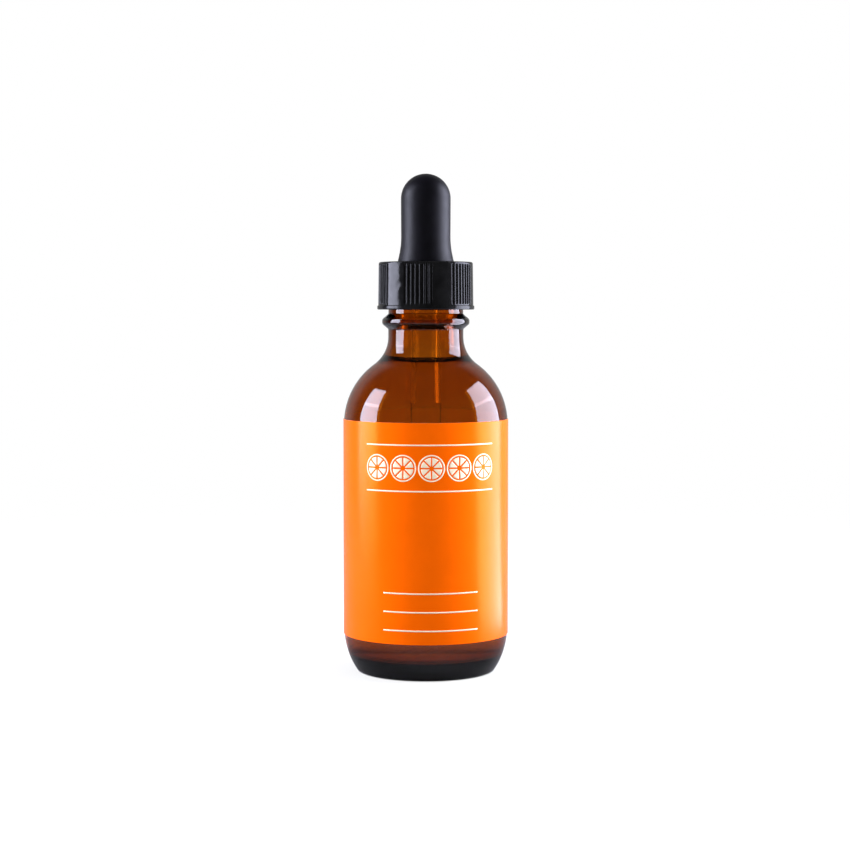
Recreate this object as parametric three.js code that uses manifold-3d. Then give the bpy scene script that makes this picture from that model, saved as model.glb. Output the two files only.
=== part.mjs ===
// Bitters bottle: an amber glass Boston round with a paper label and a screw-on glass dropper.
// Millimetres, +Z up. The origin is the centre of the base, on the surface that the bottle stands on.
// The front of the label faces -Y.

import * as THREE from 'three';
import { mergeVertices } from 'three/addons/utils/BufferGeometryUtils.js';
import Module from 'manifold-3d';

// Glass outside
const bodyDiameter = 38.8;
const heelHeight = 5.3;
const heelInset = 3.2;
const heelRadius = 17;
const heelCornerRadius = 1.2;
const bearingWidth = 3.2;
const bearingEdgeRadius = 0.8;
const pushUpHeight = 1.6;
const pushUpSide = 3.5;
const pushUpRadius = 6;
const shoulderHeight = 67.8;
const shoulderSlopeDegrees = 54;
const shoulderRadius = 17.5;
const neckDiameter = 17.7;
const neckHeight = 19.1;
const neckFilletRadius = 8;
const beadProud = 1.45;
const beadHeight = 3.55;
const beadCrest = 1.1;
const beadRadius = 0.9;
const beadFootRadius = 0.5;
const lipRadius = 0.7;

// Glass inside
const bodyWall = 1.7;
const neckBore = 12.4;
const baseThickness = 2.8;
const floorDrop = 1;
const floorFlat = 10;
const floorFlatRadius = 25;
const floorCornerRadius = 4.3;

// Label, which reaches just past the straight part of the body at both ends
const labelThickness = 0.12;
const labelGlue = 0.05;
const labelHeelReach = 0.95;
const labelShoulderReach = 1.25;
const labelBackGap = 21.3;

// Liquid
const headspace = 22.2;
const meniscusRise = 2;
const meniscusWidth = 1.5;
const meniscusSteps = 5;
const liquidGap = 0.15;
const liquidPipetteGap = 0.3;

// Pipette
const pipetteDiameter = 7;
const pipetteWall = 1;
const pipetteTipClearance = 13;
const tipDiameter = 3;
const tipBore = 1.3;
const tipStraight = 2;
const tipTaper = 13;
const tipEdgeRadius = 0.5;
const taperRadius = 12;
const rimProud = 0.4;
const rimHeight = 1.2;
const rimRadius = 0.35;

// Bulb
const bulbHeight = 20.8;
const bulbWall = 1.27;
const bulbSwell = 0.05;
const rimClearance = 0.65;
const gripClearance = 0.1;
const gripLength = 8;
const waistWall = 1.6;
const flareProud = 0.78;
const flareLip = 0.2;
const flareHeight = 3.7;
const flareRadius = 20;
const flangeThickness = 1.22;
const flangeClearance = 0.6;
const flangeRadius = 0.3;

// Cap
const threadDepth = 0.95;
const threadClearance = 0.2;
const capWall = 1.13;
const capDraft = 0.13;
const capTopThickness = 1.2;
const capSkirtDepth = 8.6;
const capEdgeRadius = 0.45;
const capHoleClearance = 0.15;
const rimBandProud = 0.24;
const rimBandHeight = 1;
const rimBandRadius = 0.3;
const beadClearance = 1.05;
const ribGroups = 6;
const ribsPerGroup = 6;
const ribPitchDegrees = 5.3;
const ribPhaseDegrees = -9.5;
const ribDepth = 0.3;
const ribGrooveMouth = 0.52;
const ribGrooveFloor = 0.2;
const ribFoot = 0.26;
const ribHead = 0.5;

// Seats and facets
const seatGap = 0.1;
const chordError = 0.08;
const glassFacets = 40;
const liquidFacets = 32;
const labelFacets = 60;
const pipetteFacets = 20;
const bulbFacets = 32;
const capFacets = 60;
const weldDistance = 1e-4;

// Radii and heights that follow from the sizes above, from the base up
const bodyRadius = bodyDiameter / 2;
const neckRadius = neckDiameter / 2;
const innerRadius = bodyRadius - bodyWall;
const neckBoreRadius = neckBore / 2;
const baseRadius = bodyRadius - heelInset;
const bearingRadius = baseRadius - bearingWidth;
const floorZ = pushUpHeight + baseThickness;
const shoulderSlope = THREE.MathUtils.degToRad(shoulderSlopeDegrees);
const neckCornerZ = shoulderHeight + (bodyRadius - neckRadius) / Math.tan(shoulderSlope);
const lipZ = neckCornerZ + neckHeight;
const innerShoulderZ = shoulderHeight - bodyWall * Math.tan(shoulderSlope / 2);
const innerNeckZ = innerShoulderZ + (innerRadius - neckBoreRadius) / Math.tan(shoulderSlope);

const capRimZ = lipZ - capSkirtDepth;
const beadTopZ = capRimZ - beadClearance;
const flangeBottomZ = lipZ + seatGap;
const flangeTopZ = flangeBottomZ + flangeThickness;
const capUnderZ = flangeTopZ + seatGap;
const capTopZ = capUnderZ + capTopThickness;
const bulbSeatZ = capTopZ + seatGap;
const bulbTopZ = capTopZ + bulbHeight;

const pipetteRadius = pipetteDiameter / 2;
const pipetteBoreRadius = pipetteRadius - pipetteWall;
const pipetteTipZ = floorZ + pipetteTipClearance;
const ledgeZ = flangeBottomZ + gripLength;
const rimOuterRadius = pipetteRadius + rimProud;
const cavityRadius = rimOuterRadius + rimClearance;
const bulbRadius = cavityRadius + bulbWall;
const gripRadius = pipetteRadius + gripClearance;
const waistRadius = gripRadius + waistWall;

const capBoreRadius = neckRadius + threadDepth + threadClearance;
const capHoleRadius = waistRadius + capHoleClearance;
const capTopRadius = capBoreRadius + capWall;
const capRadius = capTopRadius + capDraft;
const liquidZ = lipZ - headspace;

const wasm = await Module();
wasm.setup();

// Points of an outline whose corners [radius, height, fillet] are rounded by arcs. Where two fillets are too
// large for the wall between them, both shrink to fit it. A closed outline comes back to its first point.
function roundedOutline(corners, closed = false) {
  const count = corners.length;
  const points = corners.map(([r, z]) => new THREE.Vector2(r, z));
  const turns = points.map((point, i) => {
    const arriving = point.clone().sub(points[(i + count - 1) % count]);
    const leaving = points[(i + 1) % count].clone().sub(point);
    return Math.atan2(arriving.cross(leaving), arriving.dot(leaving));
  });
  const reach = corners.map(([, , fillet = 0], i) => fillet * Math.tan(Math.abs(turns[i]) / 2));
  const share = corners.map((corner, i) => {
    const next = (i + 1) % count;
    return Math.min(1, points[i].distanceTo(points[next]) / (reach[i] + reach[next]));
  });
  const outline = [];
  corners.forEach(([, , fillet = 0], i) => {
    const before = (i + count - 1) % count;
    const shrink = Math.min(share[i], share[before]);
    if (fillet === 0) {
      outline.push(points[i]);
      return;
    }
    outline.push(...filletArc(points[before], points[i], turns[i], fillet * shrink, reach[i] * shrink));
  });
  if (closed) outline.push(outline[0].clone());
  return outline;
}

// The arc that rounds one corner, with as many steps as keep its chords within the chord error
function filletArc(before, corner, turn, radius, reach) {
  const arriving = corner.clone().sub(before).normalize();
  const start = corner.clone().addScaledVector(arriving, -reach);
  const side = new THREE.Vector2(-arriving.y, arriving.x).multiplyScalar(Math.sign(turn));
  const centre = start.clone().addScaledVector(side, radius);
  const stepAngle = 2 * Math.acos(Math.max(0, 1 - chordError / radius));
  const steps = Math.max(2, Math.ceil(Math.abs(turn) / stepAngle));
  return Array.from({ length: steps + 1 }, (_, i) => start.clone().rotateAround(centre, turn * i / steps));
}

// A solid of revolution about Z: the outline goes up on the outside and down on the inside
function revolve(outline, facets) {
  return new THREE.LatheGeometry(outline, facets).rotateX(Math.PI / 2);
}

function toSolid(geometry) {
  const bare = geometry.clone();
  bare.deleteAttribute('normal');
  bare.deleteAttribute('uv');
  const welded = mergeVertices(bare, weldDistance);
  const vertProperties = new Float32Array(welded.attributes.position.array);
  const triVerts = new Uint32Array(welded.index.array);
  return new wasm.Manifold(new wasm.Mesh({ numProp: 3, vertProperties, triVerts }));
}

function toGeometry(solid) {
  const mesh = solid.getMesh();
  const geometry = new THREE.BufferGeometry();
  geometry.setAttribute('position', new THREE.BufferAttribute(mesh.vertProperties, 3));
  geometry.setIndex(new THREE.BufferAttribute(mesh.triVerts, 1));
  geometry.computeVertexNormals();
  return geometry;
}

// Inside wall of the glass from the middle of the floor up to the lip, moved inwards by a gap
function insideWall(gap) {
  return roundedOutline([
    [0, floorZ + gap],
    [floorFlat - gap, floorZ + gap, floorFlatRadius],
    [innerRadius - gap, floorZ - floorDrop + gap, floorCornerRadius - gap],
    [innerRadius - gap, innerShoulderZ, shoulderRadius - bodyWall],
    [neckBoreRadius - gap, innerNeckZ, neckFilletRadius + bodyWall],
    [neckBoreRadius - gap, lipZ],
  ]);
}

function bottleGeometry() {
  const crestTopZ = beadTopZ - (beadHeight - beadCrest) / 2;
  const outside = [
    [0, pushUpHeight],
    [bearingRadius - pushUpSide, pushUpHeight, pushUpRadius],
    [bearingRadius, 0, bearingEdgeRadius],
    [baseRadius, 0, heelCornerRadius],
    [bodyRadius, heelHeight, heelRadius],
    [bodyRadius, shoulderHeight, shoulderRadius],
    [neckRadius, neckCornerZ, neckFilletRadius],
    [neckRadius, beadTopZ - beadHeight, beadFootRadius],
    [neckRadius + beadProud, crestTopZ - beadCrest, beadRadius],
    [neckRadius + beadProud, crestTopZ, beadRadius],
    [neckRadius, beadTopZ, beadFootRadius],
    [neckRadius, lipZ, lipRadius],
    [neckBoreRadius, lipZ, lipRadius],
    [neckBoreRadius, lipZ - lipRadius - chordError],
  ];
  const inside = insideWall(0).reverse().slice(1);
  return revolve([...roundedOutline(outside), ...inside], glassFacets);
}

// The fill stands in the glass with a curved rim where it climbs the wall, and leaves room for the pipette
function liquidGeometry() {
  const wall = insideWall(liquidGap);
  const contactZ = liquidZ + meniscusRise;
  const above = wall.findIndex((point) => point.y > contactZ);
  const [low, high] = [wall[above - 1], wall[above]];
  const contact = low.clone().lerp(high, (contactZ - low.y) / (high.y - low.y));
  const meniscus = Array.from({ length: meniscusSteps }, (_, i) => {
    const angle = (i + 1) / meniscusSteps * Math.PI / 2;
    const inwards = meniscusWidth * (1 - Math.cos(angle));
    return new THREE.Vector2(contact.x - inwards, contactZ - meniscusRise * Math.sin(angle));
  });
  const holeRadius = pipetteRadius + liquidPipetteGap;
  const holeBottomZ = pipetteTipZ - liquidPipetteGap;
  const hole = [
    new THREE.Vector2(holeRadius, liquidZ),
    new THREE.Vector2(holeRadius, holeBottomZ),
    new THREE.Vector2(0, holeBottomZ),
  ];
  return revolve([...wall.slice(0, above), contact, ...meniscus, ...hole], liquidFacets);
}

// Paper wrapped round the straight part of the body, with its two ends apart at the back
function labelGeometry() {
  const slope = Math.atan(heelInset / heelHeight);
  const straightBottomZ = heelHeight + heelRadius * Math.tan(slope / 2);
  const straightTopZ = shoulderHeight - shoulderRadius * Math.tan(shoulderSlope / 2);
  const bottomZ = straightBottomZ - labelHeelReach;
  const depth = straightTopZ + labelShoulderReach - bottomZ;
  const inner = bodyRadius + labelGlue;
  const outer = inner + labelThickness;
  const front = -Math.PI / 2;
  const half = Math.PI - labelBackGap / 2 / outer;
  const paper = new THREE.Shape();
  paper.absarc(0, 0, outer, front - half, front + half, false);
  paper.absarc(0, 0, inner, front + half, front - half, true);
  paper.closePath();
  const options = { depth, bevelEnabled: false, curveSegments: labelFacets };
  return new THREE.ExtrudeGeometry(paper, options).translate(0, 0, bottomZ);
}

// Glass tube with a drawn-out tip below and a rolled rim above that keeps it in the bulb
function pipetteGeometry() {
  const tipTopZ = pipetteTipZ + tipStraight;
  const taperTopZ = tipTopZ + tipTaper;
  const rimZ = ledgeZ + seatGap;
  const topZ = rimZ + rimHeight;
  return revolve(roundedOutline([
    [tipBore / 2, pipetteTipZ],
    [tipDiameter / 2, pipetteTipZ, tipEdgeRadius],
    [tipDiameter / 2, tipTopZ, taperRadius],
    [pipetteRadius, taperTopZ, taperRadius],
    [pipetteRadius, rimZ],
    [rimOuterRadius, rimZ, rimRadius],
    [rimOuterRadius, topZ, rimRadius],
    [pipetteBoreRadius, topZ, rimRadius],
    [pipetteBoreRadius, taperTopZ, taperRadius],
    [tipBore / 2, tipTopZ, taperRadius],
  ], true), pipetteFacets);
}

// Hollow rubber bulb: its flange seals on the lip, its waist fills the cap's hole, and its bore grips the tube
function bulbGeometry() {
  const flangeOuterRadius = capBoreRadius - flangeClearance;
  const flareRadiusAtCap = bulbRadius + flareProud;
  const swollenRadius = bulbRadius + bulbSwell;
  return revolve(roundedOutline([
    [0, bulbTopZ - bulbWall],
    [cavityRadius, bulbTopZ - bulbWall, cavityRadius],
    [cavityRadius, ledgeZ],
    [gripRadius, ledgeZ],
    [gripRadius, flangeBottomZ],
    [flangeOuterRadius, flangeBottomZ, flangeRadius],
    [flangeOuterRadius, flangeTopZ, flangeRadius],
    [waistRadius, flangeTopZ],
    [waistRadius, bulbSeatZ],
    [flareRadiusAtCap, bulbSeatZ],
    [flareRadiusAtCap, bulbSeatZ + flareLip],
    [bulbRadius, bulbSeatZ + flareHeight, flareRadius],
    [swollenRadius, bulbTopZ - swollenRadius],
    [swollenRadius, bulbTopZ, swollenRadius],
    [0, bulbTopZ],
  ]), bulbFacets);
}

// Moulded cap turned to its profile, before the ribs are cut
function capBlank() {
  const rimRadiusOuter = capRadius + rimBandProud;
  const rimTopZ = capRimZ + rimBandHeight;
  return revolve(roundedOutline([
    [capBoreRadius, capRimZ],
    [rimRadiusOuter, capRimZ, rimBandRadius],
    [rimRadiusOuter, rimTopZ, rimBandRadius],
    [capRadius, rimTopZ],
    [capTopRadius, capTopZ, capEdgeRadius],
    [capHoleRadius, capTopZ],
    [capHoleRadius, capUnderZ],
    [capBoreRadius, capUnderZ],
  ], true), capFacets);
}

// One groove between two ribs: a tapered slot along the drafted wall, open to the outside
function ribGroove(angle) {
  const footZ = capRimZ + rimBandHeight + ribFoot;
  const length = capTopZ - ribHead - footZ;
  const lean = Math.atan(capDraft / (capTopZ - capRimZ - rimBandHeight));
  const flank = (ribGrooveMouth - ribGrooveFloor) / 2 / ribDepth;
  const outerHalf = ribGrooveMouth / 2 + flank * ribDepth;
  const section = new THREE.Shape([
    new THREE.Vector2(-ribGrooveFloor / 2, -ribDepth),
    new THREE.Vector2(ribGrooveFloor / 2, -ribDepth),
    new THREE.Vector2(outerHalf, ribDepth),
    new THREE.Vector2(-outerHalf, ribDepth),
  ]);
  const slot = new THREE.ExtrudeGeometry(section, { depth: length, bevelEnabled: false });
  return slot.rotateX(lean).translate(0, capRadius, footZ).rotateZ(angle + Math.PI);
}

// Ribs stand in groups between smooth panels, flush with them
function capGeometry() {
  let solid = toSolid(capBlank());
  for (let group = 0; group < ribGroups; group += 1) {
    for (let groove = 0; groove <= ribsPerGroup; groove += 1) {
      const groupAngle = ribPhaseDegrees + group * 360 / ribGroups;
      const angle = groupAngle + (groove - ribsPerGroup / 2) * ribPitchDegrees;
      solid = solid.subtract(toSolid(ribGroove(THREE.MathUtils.degToRad(angle))));
    }
  }
  return toGeometry(solid);
}

function addPiece(parent, name, geometry, finish) {
  const piece = new THREE.Mesh(geometry, new THREE.MeshStandardMaterial(finish));
  piece.name = name;
  parent.add(piece);
}

const bottle = new THREE.Group();
const clear = { transparent: true, metalness: 0 };
addPiece(bottle, 'bottle', bottleGeometry(), { ...clear, color: 0x7a3a08, roughness: 0.05, opacity: 0.75 });
addPiece(bottle, 'liquid', liquidGeometry(), { ...clear, color: 0x8a3c06, roughness: 0.05, opacity: 0.8 });
addPiece(bottle, 'label', labelGeometry(), { color: 0xf46000, roughness: 0.45, metalness: 0 });

const dropper = new THREE.Group();
addPiece(dropper, 'pipette', pipetteGeometry(), { ...clear, color: 0xe8eef0, roughness: 0.05, opacity: 0.4 });
addPiece(dropper, 'cap', capGeometry(), { color: 0x121216, roughness: 0.35, metalness: 0 });
addPiece(dropper, 'bulb', bulbGeometry(), { color: 0x16161a, roughness: 0.6, metalness: 0 });
bottle.add(dropper);

export default bottle;
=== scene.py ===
"""An amber dropper bottle of bitters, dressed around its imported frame.

Metres, +Z up, with the front of the label to -Y.
"""

import math

import bpy
from bpy.props import FloatProperty, FloatVectorProperty, IntProperty, PointerProperty
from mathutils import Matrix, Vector, noise


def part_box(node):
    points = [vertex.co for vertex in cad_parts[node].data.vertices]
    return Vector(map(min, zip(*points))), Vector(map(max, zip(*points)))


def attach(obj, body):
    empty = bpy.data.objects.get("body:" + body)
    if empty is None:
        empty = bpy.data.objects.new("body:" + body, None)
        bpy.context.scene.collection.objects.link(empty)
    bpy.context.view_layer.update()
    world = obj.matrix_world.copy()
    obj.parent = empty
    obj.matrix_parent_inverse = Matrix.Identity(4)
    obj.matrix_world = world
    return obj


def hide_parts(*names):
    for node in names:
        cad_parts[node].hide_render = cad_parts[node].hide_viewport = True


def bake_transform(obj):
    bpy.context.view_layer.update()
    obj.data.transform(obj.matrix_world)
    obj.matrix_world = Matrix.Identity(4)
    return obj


bl_info = {
    "name": "Dropper Bottle",
    "version": (1, 0, 0),
    "blender": (4, 5, 0),
    "location": "View3D > Sidebar > Dropper Bottle",
    "description": "Dresses the frame of an amber dropper bottle in glass, fill, label, cap and dropper",
    "category": "Add Mesh",
}

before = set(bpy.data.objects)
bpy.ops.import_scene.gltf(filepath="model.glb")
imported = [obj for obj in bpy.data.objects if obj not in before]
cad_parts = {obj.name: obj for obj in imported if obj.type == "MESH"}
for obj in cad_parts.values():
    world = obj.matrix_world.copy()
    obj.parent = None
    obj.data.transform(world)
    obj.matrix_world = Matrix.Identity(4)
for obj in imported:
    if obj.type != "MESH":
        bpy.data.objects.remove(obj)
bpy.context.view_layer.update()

MM = 0.001
TURN = 2 * math.pi

# Sizes and places that the frame gives
BODY_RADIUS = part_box("bottle")[1].x
LIP_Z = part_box("bottle")[1].z
FILL_CONTACT_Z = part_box("liquid")[1].z
LABEL_BOTTOM_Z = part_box("label")[0].z
LABEL_TOP_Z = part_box("label")[1].z
LABEL_RADIUS = -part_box("label")[0].y
CAP_RIM_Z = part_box("cap")[0].z
CAP_TOP_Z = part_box("cap")[1].z
CAP_RIM_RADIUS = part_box("cap")[1].x
FLANGE_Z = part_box("bulb")[0].z
FLANGE_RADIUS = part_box("bulb")[1].x
BULB_TOP_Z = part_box("bulb")[1].z
PIPETTE_TIP_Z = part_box("pipette")[0].z
PIPETTE_TOP_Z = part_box("pipette")[1].z
PIPETTE_RIM_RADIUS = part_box("pipette")[1].x

# Fineness of the meshes, in which points nearer than CLOSE count as one
ARC_STEP = math.radians(7.5)
ARC_LENGTH = 0.6 * MM
SHARP_EDGE = math.radians(40)
CLOSE = 0.001 * MM
GLASS_COLUMNS = 192
BULB_COLUMNS = 128
BULB_ROW = 0.6 * MM
PIPETTE_COLUMNS = 64
PIPETTE_ROW = 2 * MM
THREAD_ROW = 0.18 * MM
RIB_ROW = 0.5 * MM
RIB_STEPS = 12
PLAIN_STEPS = 9
LABEL_COLUMNS = 220
LABEL_ROWS = 50
RULE_STEP = 0.5 * MM
RIND_STEPS = 72
SEGMENT_STEPS = 8
SEGMENT_WIDTH_STEPS = 6

# Forms of the thread's flanks, the cap's grooves, the citrus segments' points and the paper's waves
THREAD_STEEPNESS = 1.7
GROOVE_EDGE = 0.4
GROOVE_FLANK = 0.32
SEGMENT_BLUNTNESS = 1.2
WAVES_ROUND = 3
WAVE_HEIGHT = 14 * MM

# How strongly the clear pieces bend light, and the noise values between which a soft patch fades in
GLASS_IOR = 1.52
TUBE_IOR = 1.47
FILL_IOR = 1.36
PATCH_LOW = 0.32
PATCH_HIGH = 0.68


# Settings


def size(name, description, millimetres):
    """A length that a user may change, written in millimetres and kept in metres."""
    return FloatProperty(
        name=name,
        description=description,
        default=millimetres * MM,
        precision=5,
        subtype="DISTANCE",
        unit="LENGTH",
    )


def angle(name, description, degrees):
    """An angle that a user may change, written in degrees and kept in radians."""
    return FloatProperty(
        name=name, description=description, default=math.radians(degrees), subtype="ANGLE", unit="ROTATION"
    )


def amount(name, description, default):
    """A plain number that a user may change."""
    return FloatProperty(name=name, description=description, default=default, precision=4)


def colour(name, description, red, green, blue):
    """A linear colour that a user may change."""
    return FloatVectorProperty(
        name=name,
        description=description,
        default=(red, green, blue),
        size=3,
        min=0,
        max=1,
        subtype="COLOR",
    )


class GlassSettings(bpy.types.PropertyGroup):
    """Outside, inside and colour of the amber glass"""

    heel_height: size("Heel height", "Height at which the heel's slope meets the body", 5.3)
    heel_inset: size("Heel inset", "How far the base stands in from the body", 3.2)
    heel_radius: size("Heel radius", "Rounding between the heel and the body", 17)
    heel_corner: size("Heel corner", "Rounding between the heel and the bearing ring", 1.2)
    bearing_width: size("Bearing width", "Width of the ring that the bottle stands on", 3.2)
    bearing_edge: size("Bearing edge", "Rounding of the ring's inner edge", 0.8)
    push_up: size("Push-up", "Height of the raised middle of the base", 1.6)
    push_up_side: size("Push-up side", "Width of the slope up to the raised middle", 3.5)
    push_up_radius: size("Push-up radius", "Rounding of the raised middle", 6)
    shoulder_height: size("Shoulder height", "Height at which body line and shoulder slope meet", 67.8)
    shoulder_slope: angle("Shoulder slope", "Angle of the shoulder from upright", 54)
    shoulder_radius: size("Shoulder radius", "Rounding of the shoulder", 17.5)
    neck_diameter: size("Neck diameter", "Outside of the neck", 17.7)
    neck_fillet: size("Neck fillet", "Hollow rounding between shoulder and neck", 8)
    bead_below_cap: size("Bead below cap", "Gap between the cap's rim and the bead", 1.05)
    bead_proud: size("Bead proud", "How far the bead stands out of the neck", 1.45)
    bead_height: size("Bead height", "Height of the bead at the neck", 3.55)
    bead_crest: size("Bead crest", "Height of the bead's crest", 1.1)
    bead_radius: size("Bead radius", "Rounding of the bead's crest", 0.9)
    bead_foot: size("Bead foot", "Hollow rounding at the bead's foot", 0.5)
    lip_radius: size("Lip radius", "Rounding of the lip", 0.7)
    body_wall: size("Body wall", "Thickness of the body's wall", 1.7)
    neck_bore: size("Neck bore", "Inside of the neck", 12.4)
    base_thickness: size("Base thickness", "Glass between the raised middle and the floor inside", 2.8)
    floor_drop: size("Floor drop", "How far the floor inside falls towards the wall", 1)
    floor_flat: size("Floor flat", "Radius of the level part of the floor inside", 10)
    floor_flat_radius: size("Floor flat radius", "Rounding where the floor inside starts to fall", 25)
    floor_corner: size("Floor corner", "Rounding between the floor inside and the wall", 4.3)
    seam_proud: size("Seam proud", "How far the two mould seams stand out", 0.05)
    seam_width: size("Seam width", "Half the width of a mould seam", 0.22)
    tint: colour("Glass tint", "Tint of one face of the glass", 0.93, 0.72, 0.40)
    absorbed: colour("Glass colour", "Colour that the glass lets through", 0.754, 0.55, 0.0)
    density: amount("Glass density", "How strongly the glass absorbs, per metre", 1100.0)


class ThreadSettings(bpy.types.PropertyGroup):
    """Screw thread of the neck and, half a pitch lower, of the cap"""

    pitch: size("Pitch", "Rise of the thread in one turn", 3.175)
    depth: size("Depth", "How far the thread stands out", 0.95)
    neck_half: size("Neck thread half width", "Half the width of the thread on the neck", 0.95)
    cap_half: size("Cap thread half width", "Half the width of the thread in the cap", 0.5)
    below_lip: size("Below lip", "Distance from the lip down to the thread's upper end", 1.7)
    turns: amount("Turns", "Length of the thread in turns", 1.25)
    run_out: amount("Run-out", "Length in turns over which each end of the thread fades", 0.08)


class FillSettings(bpy.types.PropertyGroup):
    """Level and colour of the bitters"""

    overlap: size("Overlap", "How far the fill reaches into the glass, so that no air shows between", 0.1)
    meniscus_rise: size("Meniscus rise", "How far the fill climbs the glass", 2.0)
    meniscus_width: size("Meniscus width", "Width of the curved rim", 1.5)
    tint: colour("Fill tint", "Tint of one face of the fill", 0.99, 0.95, 0.8)
    absorbed: colour("Fill colour", "Colour that the fill lets through", 0.81, 0.48, 0.0)
    density: amount("Fill density", "How strongly the fill absorbs, per metre", 60.0)


class LabelSettings(bpy.types.PropertyGroup):
    """Paper, colour and print of the wrap label"""

    thickness: size("Thickness", "Thickness of the paper", 0.12)
    back_gap: size("Back gap", "Gap between the label's ends at the back", 21.3)
    ripple: size("Ripple", "Height of the paper's faint waves", 0.02)
    ink_lift: size("Ink lift", "How far the ink stands off the paper", 0.015)
    ink_thickness: size("Ink thickness", "Thickness of the ink", 0.02)
    paper: colour("Paper colour", "Orange of the printed face", 0.96, 0.123, 0.001)
    core: colour("Core colour", "Colour of the paper's cut edge and back", 0.86, 0.62, 0.38)
    ink: colour("Ink colour", "Cream of the print", 0.96, 0.82, 0.60)
    print_aside: size("Print aside", "How far the print's middle lies to the right of the front", 1.3)
    rule_width: size("Rule width", "Width of every rule", 0.32)
    band_below_top: size("Band below top", "Distance of the band's middle from the upper edge", 10.4)
    band_half: size("Band half length", "Half the length of the band's two rules along the paper", 16.3)
    band_half_height: size("Band half height", "Half the distance between the band's two rules", 5.3)
    slices: IntProperty(name="Slices", description="Citrus slices in the band", default=5, min=2)
    slice_radius: size("Slice radius", "Outer radius of a citrus slice", 3.1)
    rind: size("Rind", "Width of the rind's ring", 0.3)
    pith: size("Pith", "Gap between the rind and the segments", 0.35)
    membrane: size("Membrane", "Gap between two segments", 0.36)
    segments: IntProperty(name="Segments", description="Segments of a citrus slice", default=8, min=3)
    line_above_bottom: size("Line above bottom", "Height of the lowest line over the lower edge", 3.2)
    line_pitch: size("Line pitch", "Distance between the writing lines", 4.3)
    line_half: size("Line half length", "Half the length of the writing lines along the paper", 11.5)
    lines: IntProperty(name="Lines", description="Writing lines at the foot of the label", default=3, min=1)


class CapSettings(bpy.types.PropertyGroup):
    """Moulded cap and its ribs"""

    bore: size("Bore", "Radius of the cap's inside", 10)
    wall: size("Wall", "Thickness of the skirt at the top", 1.13)
    draft: size("Draft", "How far the skirt widens towards the rim", 0.13)
    top_thickness: size("Top thickness", "Thickness of the cap's top", 1.2)
    hole: size("Hole", "Radius of the hole for the bulb", 5.35)
    edge_radius: size("Edge radius", "Rounding of the top edge", 0.45)
    inner_edge: size("Inner edge", "Rounding of the edges inside", 0.2)
    rim_height: size("Rim height", "Height of the plain band at the rim", 1)
    rim_radius: size("Rim radius", "Rounding of the band", 0.3)
    rib_groups: IntProperty(name="Rib groups", description="Groups of ribs round the cap", default=6, min=1)
    ribs: IntProperty(name="Ribs", description="Ribs in each group", default=6, min=1)
    rib_pitch: angle("Rib pitch", "Angle from one rib to the next", 5.3)
    rib_phase: angle("Rib phase", "Angle of the first group's middle from the front", -9.5)
    rib_depth: size("Rib depth", "Depth of the grooves between ribs", 0.3)
    rib_foot: size("Rib foot", "Smooth height above the rim's band", 0.26)
    rib_head: size("Rib head", "Smooth height below the top", 0.5)
    rib_ramp: size("Rib ramp", "Height over which a groove fades out", 0.25)
    plastic: colour("Plastic colour", "Colour of the moulded plastic", 0.005, 0.005, 0.0052)


class BulbSettings(bpy.types.PropertyGroup):
    """Rubber bulb, hollow, with its waist in the cap's hole"""

    radius: size("Radius", "Radius of the bulb above its flare", 5.82)
    swell: size("Swell", "How much wider the bulb is below its dome", 0.05)
    wall: size("Wall", "Thickness of the rubber", 1.27)
    flare_radius: size("Flare radius", "Radius where the bulb meets the cap", 6.6)
    flare_lip: size("Flare lip", "Height of the flare's upright edge", 0.2)
    flare_height: size("Flare height", "Height of the flare", 3.7)
    flare_curve: size("Flare curve", "Rounding between flare and bulb", 20)
    seat_gap: size("Seat gap", "Gap between the flare and the cap's top", 0.1)
    waist: size("Waist", "Radius in the cap's hole", 5.2)
    grip: size("Grip", "Radius of the bore that grips the pipette", 3.6)
    grip_length: size("Grip length", "Length of that bore", 8)
    flange_thickness: size("Flange thickness", "Thickness of the flange that seals on the lip", 1.22)
    flange_edge: size("Flange edge", "Rounding of the flange", 0.3)
    rubber: colour("Rubber colour", "Colour of the rubber", 0.0022, 0.0018, 0.0037)


class PipetteSettings(bpy.types.PropertyGroup):
    """Glass tube of the dropper"""

    radius: size("Radius", "Outside of the tube", 3.5)
    wall: size("Wall", "Thickness of the tube's glass", 1)
    tip_radius: size("Tip radius", "Outside of the tip", 1.5)
    tip_bore: size("Tip bore", "Radius of the tip's hole", 0.65)
    tip_straight: size("Tip straight", "Length of the straight tip", 2)
    tip_taper: size("Tip taper", "Length of the drawn taper", 13)
    tip_edge: size("Tip edge", "Rounding of the tip's end", 0.4)
    taper_curve: size("Taper curve", "Rounding at both ends of the taper", 12)
    rim_height: size("Rim height", "Height of the rolled rim", 1.2)
    rim_edge: size("Rim edge", "Rounding of the rim", 0.35)
    column: size("Column", "How far the bitters stand in the tube above its tip", 45)
    tint: colour("Pipette tint", "Tint of one face of the tube", 0.97, 0.99, 0.985)


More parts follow.
